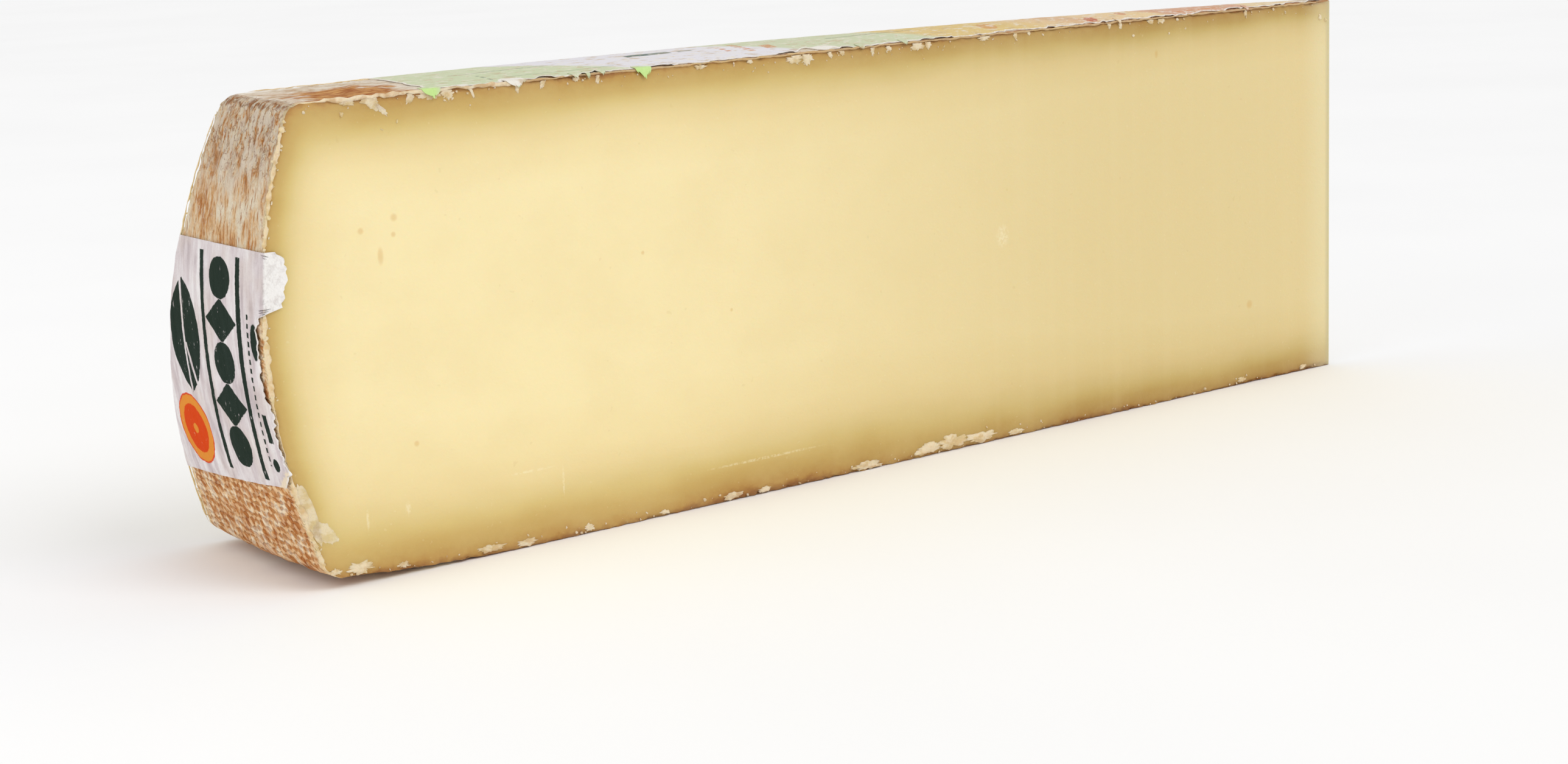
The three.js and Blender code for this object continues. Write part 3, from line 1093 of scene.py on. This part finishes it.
@dataclass
class HeelBand:
    """The paper band round the rind, with its torn end folded on to the front cut."""

    cells: tuple[int, int] = (116, 108)
    top: float = 0.0702
    foot_near: float = 0.0200
    foot_far: float = 0.0162
    stand_off: float = 0.34 * MM
    thickness: float = 0.16 * MM
    fold: float = 0.7 * MM
    tear_mm: tuple[tuple[float, float], ...] = (
        (15.0, -2.4), (20.0, -1.6), (22.0, -0.2), (27.0, -0.6), (33.0, -0.2), (37.5, -0.6), (39.5, -1.4),
        (42.0, -1.3), (45.0, -2.9), (50.0, -1.7), (54.0, -2.6), (56.4, -1.5), (57.4, -0.2), (58.5, 3.0),
        (60.7, 4.8), (62.7, 4.4), (64.0, 5.3), (66.8, 5.5), (69.0, 4.2), (69.9, 2.4), (71.0, 1.6),
    )

    def reach(self, height: Array) -> Array:
        """How far the torn end runs past the front arris at each height, or stops short of it."""
        knots = np.array(self.tear_mm) * MM
        fringe = wander(height, 0.8 * MM, 5) * 0.45 * MM + wander(height, 2.1 * MM, 8) * 0.6 * MM
        return np.interp(height, knots[:, 0], knots[:, 1]) + fringe

    def build(self) -> bpy.types.Object:
        """Bends a sheet round the rim, folds its end over, creases it and makes it thick."""
        obj = leaf("heel_band_paper", self.cells)
        unit = coordinates(obj)
        # The sheet runs from the back cut round to the front, then up the band.
        front_share = 1 - unit[:, 0]
        rise = unit[:, 1]
        foot = self.foot_near + (self.foot_far - self.foot_near) * front_share
        height = foot + (self.top - foot) * rise
        rim = WHEEL.rim(height)
        width = WHEEL.width(rim, height)
        reach = self.reach(height)
        aside = -reach + (width + reach) * front_share**1.12
        on_cut = np.maximum(0.0, -aside)
        across = np.clip(aside / width, 0.0, 1.0)
        base = WHEEL.point(rim - on_cut, across, height)
        angle = np.radians(-WHEEL.front_angle + (WHEEL.front_angle + WHEEL.back(height)) * across)
        out_rim = np.column_stack((-np.cos(angle), np.sin(angle), np.zeros_like(angle)))
        share_rim = smooth(aside, -self.fold, 0.0)[:, None]
        share_cut = 1 - smooth(aside, 0.0, self.fold)[:, None]
        lifted = 0.35 * MM * smooth(aside + reach, 1.4 * MM, 0.0) * (wander(height, 3 * MM, 21) > -0.1)
        bulge = 0.1 * MM * wander(aside, 3.1 * MM, 3) * smooth(aside, 0.0, 2 * MM)
        off = (self.stand_off + bulge + np.where(aside > 0, lifted, 0.5 * lifted))[:, None]
        set_coordinates(obj, base + off * (share_rim * out_rim + share_cut * WHEEL.off_cut()))
        set_rows(obj, "sheet_mm", np.column_stack((aside, height, aside + reach)) / MM)
        weigh(obj, "sheet", np.where(aside > 0.5 * MM, 1.0, 0.5))
        Relief("sheet", 0.34 * MM, (0.003, 0.0026, 0.02), 0.5, 2).press(obj)
        Relief("sheet", 0.16 * MM, (0.0012, 0.0012, 0.002), 0.5, 1).press(obj)
        thicken(obj, self.thickness)
        return complete(obj, 60.0, BandFinish().build())


@dataclass
class TopLabel:
    """The paper label on the top, torn along the front cut."""

    cells: tuple[int, int] = (330, 22)
    outer: float = 0.2835
    inner: float = 0.003
    stand_off: float = 0.2 * MM
    thickness: float = 0.14 * MM
    tears_mm: tuple[tuple[float, float, float], ...] = (
        (182.0, 2.4, 2.6), (262.0, 3.0, 1.6), (255.0, 1.6, 1.4), (241.0, 1.6, 1.6),
        (118.0, 2.6, 0.9), (92.0, 1.6, 0.8), (50.0, 2.4, 0.7), (16.0, 2.6, 0.5),
    )

    def front_margin(self, radius: Array) -> Array:
        """How far the torn edge stands back from the front arris along the label."""
        line = 0.35 * MM + wander(radius, 1.2 * MM, 31) * 0.35 * MM + wander(radius, 5.0 * MM, 33) * 0.4 * MM
        for place, size, depth in self.tears_mm:
            line = line + depth * MM * np.exp(-(((radius / MM - place) / size) ** 2))
        return np.maximum(line, -0.25 * MM)

    def build(self) -> bpy.types.Object:
        """Lays a sheet on the top, creases it and makes it thick."""
        obj = leaf("top_label_paper", self.cells)
        unit = coordinates(obj)
        end = self.outer + wander(unit[:, 1], 0.09, 41) * 0.5 * MM
        radius = end + (self.inner - end) * unit[:, 0]
        width = WHEEL.width(radius, WHEEL.height)
        front = np.minimum(self.front_margin(radius), width * 0.35)
        rear = np.minimum(0.2 * MM + wander(radius, 6.0 * MM, 35) * 0.12 * MM, width * 0.2)
        aside = front + (width - front - rear) * unit[:, 1]
        base = WHEEL.point(radius, aside / width, WHEEL.height)
        curl = 0.3 * MM * smooth(aside - front, 1.0 * MM, 0.0) * (wander(radius, 6.0 * MM, 37) > 0.3)
        base[:, 2] += self.stand_off + curl
        set_coordinates(obj, base)
        tear = np.minimum(aside - front, (end - radius) * 0.8)
        set_rows(obj, "sheet_mm", np.column_stack((radius, aside, tear)) / MM)
        weigh(obj, "sheet", smooth(radius, 0.0, 0.01))
        Relief("sheet", 0.16 * MM, (0.006, 0.004, 0.004), 0.55, 2).press(obj)
        thicken(obj, self.thickness)
        return complete(obj, 60.0, LabelFinish().build())


@dataclass(frozen=True)
class Smear:
    """A thin film of paste stuck on the front cut, in millimetres on the wheel.

    Attributes:
        radius: Place of its middle, out from the wheel's middle.
        height: Place of its middle, up the wheel.
        long: Half its length along the cut.
        tall: Half its height.
        thick: Its thickness in the middle.
        lean: How far its top leans towards the rim, as a share of its height.
        ragged: How uneven its outline is.
    """

    radius: float
    height: float
    long: float
    tall: float
    thick: float = 0.3
    lean: float = 0.0
    ragged: float = 1.0


@dataclass(frozen=True)
class Ridge:
    """A thin uneven line of crumbly paste and rind that the knife raised along an edge.

    Attributes:
        up_heel: It runs up the heel edge, and otherwise along the top edge.
        start: Where it begins, as a height or a distance from the wheel's middle, in millimetres.
        end: Where it ends.
        thick: Half its thickness.
        back: It lies on the back cut.
        seed: Sets its lumps.
    """

    up_heel: bool
    start: float
    end: float
    thick: float
    back: bool
    seed: int

    def build(self) -> bpy.types.Object:
        """Carries a long block to the edge and gives it its lumps."""
        length = abs(self.end - self.start)
        obj = block("edge_ridge", (3, 3, 10 * max(1, round(length / 5.5))))
        unit = coordinates(obj)
        east, north = disc_from_square(unit[:, 0] * 2 - 1, unit[:, 1] * 2 - 1)
        along = self.start + (self.end - self.start) * unit[:, 2]
        rough = 0.42 if self.up_heel else 0.26
        lumps = 0.8 + rough * wander(along, 0.8, self.seed) + 0.3 * wander(along, 3.1, self.seed + 1)
        ends = smooth(np.minimum(unit[:, 2], 1 - unit[:, 2]) * length, 0.0, 3.0)
        across = 1.0 if self.back else 0.0
        if self.up_heel:
            covered = smooth(along, 55.5, 58.0) * smooth(along, 72.0, 70.5)
            covered = np.maximum(covered, smooth(along, 20.0, 22.0) * smooth(along, 40.0, 37.0))
            ends = ends * (1 - covered * (0.9 if not self.back else 0.0))
            height = along * MM
            radius = WHEEL.rim(height)
            out = np.array((-1.0, 0.0, 0.0))
        else:
            height = np.full_like(along, WHEEL.height)
            radius = along * MM
            out = np.array((0.0, 0.0, 1.0))
        normal = WHEEL.off_back(0.05) if self.back else WHEEL.off_cut()
        size = (self.thick * MM * np.clip(lumps, 0.12, None) * ends + 0.02 * MM)[:, None]
        sway = (min(0.3, self.thick) * 0.7 * MM * wander(along, 1.7, self.seed + 2))[:, None]
        base = WHEEL.point(radius, across, height)
        places = base + (east[:, None] * size * 1.15 + sway - 0.25 * size) * out
        set_coordinates(obj, places + (north[:, None] * size * 0.8 - 0.1 * size) * normal)
        set_rows(obj, "wheel_mm", np.column_stack((radius / MM, np.full_like(along, across), height / MM)))
        face_outward(obj)
        return obj


@dataclass
class Crumbs:
    """Smears, films, edge ridges and loose crumbs of paste along the edges of the cuts."""

    smears: tuple[Smear, ...] = (
        Smear(307.0, 1.8, 3.0, 1.2, 0.35),
        Smear(312.8, 1.4, 1.2, 0.7, 0.3),
        Smear(296.8, 1.2, 1.3, 0.6, 0.3),
        Smear(275.2, 1.5, 3.0, 0.8, 0.4),
        Smear(266.0, 1.2, 2.6, 0.7, 0.4),
        Smear(249.6, 1.4, 1.2, 0.8, 0.4),
        Smear(229.0, 1.0, 1.2, 0.5, 0.4),
        Smear(209.6, 1.2, 2.6, 0.8, 0.4),
        Smear(200.3, 1.0, 1.8, 0.6, 0.4),
        Smear(169.0, 1.2, 4.6, 0.9, 0.5),
        Smear(149.5, 1.9, 4.0, 1.3, 0.7),
        Smear(141.5, 2.3, 4.4, 1.7, 0.7),
        Smear(132.0, 1.9, 5.0, 1.2, 0.6),
        Smear(120.0, 1.2, 2.4, 0.7, 0.4),
        Smear(36.0, 1.4, 1.4, 0.7, 0.4),
        Smear(11.0, 1.2, 1.4, 0.6, 0.4),
        Smear(317.9, 14.6, 1.5, 6.6, 0.16, 0.3, 0.35),
        Smear(314.6, 10.0, 2.4, 2.6, 0.16, 0.5, 0.5),
        Smear(303.4, 99.2, 2.0, 0.6, 0.2),
        Smear(297.6, 98.6, 2.0, 1.5, 0.2, 0.9),
        Smear(295.4, 97.0, 0.7, 1.3, 0.2, 0.8),
        Smear(288.6, 98.9, 0.8, 1.3, 0.2, -0.2),
        Smear(284.0, 99.0, 2.4, 0.9, 0.2),
        Smear(279.6, 99.0, 1.4, 1.2, 0.2),
        Smear(273.8, 98.9, 0.4, 1.3, 0.2, 0.5),
        Smear(262.4, 99.0, 0.5, 1.4, 0.3),
        Smear(256.0, 99.1, 0.6, 1.0, 0.3, -0.5),
        Smear(247.4, 99.4, 0.8, 0.6, 0.3),
        Smear(241.8, 99.0, 0.5, 1.2, 0.3),
        Smear(214.0, 99.2, 1.4, 0.5, 0.25),
        Smear(200.0, 99.3, 0.7, 0.5, 0.25),
        Smear(187.0, 98.8, 2.4, 0.9, 0.25),
        Smear(183.4, 98.6, 1.6, 1.2, 0.25),
        Smear(176.6, 99.2, 0.6, 0.9, 0.25, 0.6),
        Smear(173.0, 99.3, 0.7, 0.7, 0.25, 0.8),
        Smear(163.6, 99.0, 0.5, 1.2, 0.25),
        Smear(158.6, 99.3, 0.7, 0.8, 0.25, 0.5),
        Smear(149.6, 98.9, 1.8, 1.0, 0.25),
        Smear(146.2, 99.0, 1.0, 0.8, 0.25),
        Smear(128.0, 99.3, 1.8, 0.6, 0.25),
        Smear(117.6, 99.2, 0.6, 0.8, 0.25),
        Smear(113.0, 99.4, 0.5, 0.5, 0.25),
        Smear(85.0, 99.2, 0.5, 0.8, 0.25),
        Smear(81.0, 99.1, 0.5, 1.0, 0.25),
        Smear(70.0, 99.2, 1.0, 0.6, 0.25),
        Smear(66.0, 99.2, 1.1, 0.7, 0.25),
        Smear(34.0, 99.0, 0.5, 0.9, 0.25),
        Smear(4.0, 95.8, 0.7, 0.7, 0.4),
    )
    ridges: tuple[Ridge, ...] = (
        Ridge(True, 2.0, 96.0, 0.5, False, 50),
        Ridge(True, 2.0, 96.0, 0.16, True, 60),
        Ridge(False, 311.0, 262.0, 0.45, False, 70),
        Ridge(False, 262.0, 3.0, 0.2, False, 80),
        Ridge(False, 311.0, 3.0, 0.12, True, 90),
    )
    # Crumbs that lie alone, as in edge_places.
    single_mm: tuple[tuple[float, float, float, float], ...] = (
        (304.8, 0.0, 97.0, 0.45),
        (292.0, 0.0, 94.4, 0.3),
        (295.6, 0.0, 93.0, 0.3),
        (1.8, 0.0, 95.0, 0.4),
    )
    # Heights at which the band's torn end hides the heel edge.
    hidden_mm: tuple[tuple[float, float], ...] = ((21.5, 38.0), (56.0, 70.5))
    heel_count: int = 130
    edge_count: int = 260
    back_films: int = 16
    seed: int = 12

    def film(self, master: bpy.types.Object, smear: Smear, seed: int, back: bool) -> bpy.types.Object:
        """Shapes a copy of the master block into one ragged film.

        Args:
            master: A unit block, one cell thick along y.
            smear: The film's place and size.
            seed: Sets its outline.
            back: Whether it lies on the back cut.

        Returns:
            The film.
        """
        obj = copied(master)
        unit = coordinates(obj)
        inner = unit[:, 1]
        east, north = disc_from_square(unit[:, 0] * 2 - 1, unit[:, 2] * 2 - 1)
        turn = np.arctan2(north, east)
        reach = np.hypot(east, north)
        rng = np.random.default_rng(seed)
        outline = np.ones_like(turn)
        for wave, amount in ((2, 0.14), (3, 0.16), (5, 0.14), (8, 0.14), (13, 0.12), (19, 0.08)):
            amount = amount * smear.ragged * rng.uniform(0.3, 1.0)
            outline += amount * np.sin(wave * turn + rng.uniform(0, 6.28))
        high = smear.height + north * outline * smear.tall
        radius = smear.radius + east * outline * smear.long + (high - smear.height) * smear.lean
        lumps = 0.7 + 0.4 * smear.ragged * wander(radius + 1.7 * high, 1.6, seed + 1)
        dome = smear.thick * np.sqrt(np.clip(1.01 - reach**2, 0.0, 1.0)) * lumps
        off = np.where(inner < 0.5, 0.02 + dome, -0.25)
        height = np.clip(high, 0.05, 99.7) * MM
        radius = np.minimum(radius * MM, WHEEL.rim(height) - 0.1 * MM)
        base = WHEEL.point(radius, 1.0 if back else 0.0, height)
        normal = WHEEL.off_back(smear.height * MM) if back else WHEEL.off_cut()
        set_coordinates(obj, base + off[:, None] * MM * normal)
        set_rows(obj, "wheel_mm", np.column_stack((radius / MM, np.zeros_like(radius), height / MM)))
        if back:
            face_outward(obj)
        return obj

    @staticmethod
    def crumb(
        master: bpy.types.Object, place: Array, size: float, rng: np.random.Generator
    ) -> bpy.types.Object:
        """A copy of the master lump, squashed, turned and set at a place.

        Args:
            master: A ball of radius one.
            place: Where the crumb's middle comes.
            size: About its radius.
            rng: The seeded source of chance.

        Returns:
            The crumb.
        """
        obj = copied(master)
        shape = coordinates(obj)
        waves = np.sin(shape @ rng.uniform(-5, 5, 3) + rng.uniform(0, 6))
        lumpy = 1 + 0.3 * waves + rng.normal(0, 0.1, len(shape))
        shape = shape * lumpy[:, None] * rng.uniform(0.4, 1.5, 3) * size
        turn = np.array(Matrix.Rotation(rng.uniform(0, 6.28), 3, rng.normal(size=3).tolist()))
        set_coordinates(obj, shape @ turn.T + place)
        return obj

    def edge_places(self, rng: np.random.Generator) -> list[tuple[float, float, float, float]]:
        """Places on the wheel and sizes of the loose crumbs along the edges of both cuts.

        Args:
            rng: The seeded source of chance.

        Returns:
            Distance from the wheel's middle, share across, height and size of each crumb, in millimetres.
        """
        places: list[tuple[float, float, float, float]] = []
        for _ in range(self.heel_count):
            height = rng.uniform(3, 97)
            back = rng.random() < 0.25
            if not back and any(foot < height < top for foot, top in self.hidden_mm):
                continue
            radius = float(WHEEL.rim(np.array(height * MM))) / MM + rng.uniform(-1.1, 0.05)
            across = 1.0 - rng.uniform(0, 0.01) if back else rng.uniform(0.0, 0.016)
            places.append((radius, across, height, rng.uniform(0.15, 0.42) * (0.5 if back else 1.0)))
        for _ in range(self.edge_count):
            across = 1.0 if rng.random() < 0.3 else 0.0
            top = rng.random() < 0.5
            height = 99.4 - rng.gamma(1.6, 0.8) if top else 0.4 + rng.gamma(1.3, 0.6)
            rim = float(WHEEL.rim(np.array(height * MM))) / MM
            # The foot of the back cut is the part's widest place, so its crumbs stay short of the rim.
            outermost = rim - (16.0 if across else 1.5)
            places.append((rng.uniform(6, outermost), across, height, rng.uniform(0.1, 0.3)))
        return places + list(self.single_mm)

    def build(self) -> list[bpy.types.Object]:
        """Makes the films, the ridges and the loose crumbs, each as one object."""
        finish = CrumbFinish().build()
        master = block("film", (18, 1, 18))
        films = [self.film(master, smear, 100 + i, False) for i, smear in enumerate(self.smears)]
        rng = np.random.default_rng(self.seed)
        for index in range(self.back_films):
            height = 97.2 if index % 2 == 0 else 1.7
            smear = Smear(rng.uniform(14, 314), height, rng.uniform(1.2, 5.0), rng.uniform(0.6, 1.4), 0.35)
            films.append(self.film(master, smear, 300 + index, True))
        bpy.data.objects.remove(master)
        bpy.ops.mesh.primitive_ico_sphere_add(subdivisions=2, radius=1)
        lump = bpy.context.object
        crumbs = []
        for radius, across, height, size in self.edge_places(rng):
            place = WHEEL.point(radius * MM, across, height * MM)[0]
            obj = self.crumb(lump, place, size * MM, rng)
            spot = np.tile((radius - 6.0, across, height), (len(obj.data.vertices), 1))
            set_rows(obj, "wheel_mm", spot)
            crumbs.append(obj)
        bpy.data.objects.remove(lump)
        ridges = [ridge.build() for ridge in self.ridges]
        made = [merge("paste_films", films), merge("paste_ridges", ridges), merge("paste_crumbs", crumbs)]
        return [complete(obj, 70.0, finish) for obj in made]


@dataclass
class PaperShreds:
    """Small torn bits of the label that hang over the top edge of the front cut."""

    finish: bpy.types.Material
    # Place along the cut, half width, and how far down it hangs.
    bits_mm: tuple[tuple[float, float, float], ...] = (
        (229.8, 2.1, 1.5), (283.6, 2.2, 1.2), (262.8, 2.4, 0.9), (247.6, 0.9, 0.5), (244.4, 0.5, 0.7),
        (240.6, 0.7, 0.4), (167.0, 0.9, 0.4), (153.6, 0.8, 0.4), (81.6, 0.6, 0.5), (33.6, 0.6, 0.4),
    )

    def build(self) -> bpy.types.Object:
        """Folds each bit from the top over the arris and joins them."""
        bits = []
        for index, (place, half, drop) in enumerate(self.bits_mm):
            obj = leaf("shred", (18, 14))
            unit = coordinates(obj)
            run = unit[:, 0] * 2 - 1
            # The sheet starts on the label and comes forward over the edge.
            forward = -1.6 + (1.6 + drop) * (1 - unit[:, 1])
            ragged = 1 - 0.4 * np.abs(run) + 0.42 * wander(run, 0.16, 60 + index)
            forward = forward * np.where(forward > 0, ragged, 1)
            narrow = 1 - 0.6 * smooth(forward, 0.0, drop)
            radius = (place - (run * narrow + 0.35 * (1 - narrow)) * half) * MM
            over = np.maximum(forward, 0.0) * MM
            behind = np.maximum(-forward, 0.0) * MM
            width = WHEEL.width(radius, WHEEL.height)
            base = WHEEL.point(radius, behind / width, WHEEL.height)
            base[:, 2] += 0.42 * MM * smooth(over, 0.6 * MM, 0.0) - over
            off = smooth(forward, -0.4, 0.4) * 0.5 * MM + 0.25 * MM * smooth(over, 0.4 * MM, 2 * MM)
            set_coordinates(obj, base + off[:, None] * WHEEL.off_cut())
            set_rows(obj, "sheet_mm", np.column_stack((radius / MM, -forward - 1.4, np.full_like(run, 3.0))))
            thicken(obj, 0.14 * MM)
            bits.append(obj)
        return complete(merge("label_shreds", bits), 60.0, self.finish)


# ---------------------------------------------------------------- the studio


@dataclass(frozen=True)
class Studio:
    """Pale floor, soft lights and the camera."""

    lens: float = 64.46
    place: tuple[float, float, float] = (-0.4014, -0.5197, 0.1448)
    yaw: float = 36.581
    pitch: float = -10.92
    roll: float = -2.04
    sun: float = 0.8
    sun_spread: float = 32.0
    sun_from: tuple[float, float, float] = (0.22, -0.66, 0.72)
    fill: float = 3.6
    fill_place: tuple[float, float, float] = (-1.35, 0.05, 0.5)
    fill_size: float = 1.4
    sky: float = 0.76
    floor_size: float = 16.0

    def floor(self) -> bpy.types.Object:
        """A wide flat floor."""
        bpy.ops.mesh.primitive_grid_add(x_subdivisions=8, y_subdivisions=8, size=self.floor_size)
        obj = bpy.context.object
        obj.name = "floor"
        obj.data.materials.append(FloorFinish().build())
        return obj

    def build(self) -> bpy.types.Object:
        """Sets up the world, the lights, the floor and the camera."""
        scene = bpy.context.scene
        world = bpy.data.worlds.new("studio")
        scene.world = world
        world.use_nodes = True
        sky = world.node_tree.nodes["Background"]
        sky.inputs["Color"].default_value = (1.0, 1.0, 1.0, 1.0)
        sky.inputs["Strength"].default_value = self.sky
        scene.view_settings.view_transform = "Standard"
        bpy.ops.object.light_add(type="SUN")
        sun = bpy.context.object
        sun.name = "key"
        sun.data.energy = self.sun
        sun.data.angle = math.radians(self.sun_spread)
        sun.rotation_euler = Vector(self.sun_from).to_track_quat("Z", "Y").to_euler()
        bpy.ops.object.light_add(type="AREA", location=self.fill_place)
        fill = bpy.context.object
        fill.name = "fill"
        fill.data.energy = self.fill
        fill.data.size = self.fill_size
        fill.rotation_euler = fill.location.to_track_quat("Z", "Y").to_euler()
        bpy.ops.object.camera_add()
        camera = bpy.context.object
        camera.data.lens = self.lens
        camera.data.sensor_width = 36.0
        camera.data.sensor_fit = "HORIZONTAL"
        camera.data.clip_end = 40.0
        camera.matrix_world = (
            Matrix.Translation(self.place)
            @ Matrix.Rotation(math.radians(-self.yaw), 4, "Z")
            @ Matrix.Rotation(math.radians(90 + self.pitch), 4, "X")
            @ Matrix.Rotation(math.radians(self.roll), 4, "Z")
        )
        scene.camera = camera
        return self.floor()


def attach(obj: bpy.types.Object, node: str | None = None) -> None:
    """Lets a piece ride with the part, and hides the imported node that it stands for if any."""
    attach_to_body(obj, "root")
    if node:
        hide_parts(node)


def main() -> None:
    """Builds the wedge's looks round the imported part."""
    logging.basicConfig(level=logging.INFO, format="%(name)s: %(message)s")
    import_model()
    low, high = (np.array(corner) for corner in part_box("cheese"))
    inset = np.array((0.05, 0.05, 0.0)) * MM
    attach(CheeseBody(box=(low + inset, high - inset)).build(), "cheese")
    attach(HeelBand().build(), "heel_band")
    label = TopLabel().build()
    attach(label, "top_label")
    attach(PaperShreds(finish=label.data.materials[0]).build())
    for piece in Crumbs().build():
        attach(piece)
    Studio().build()


if __name__ == "__main__":
    main()
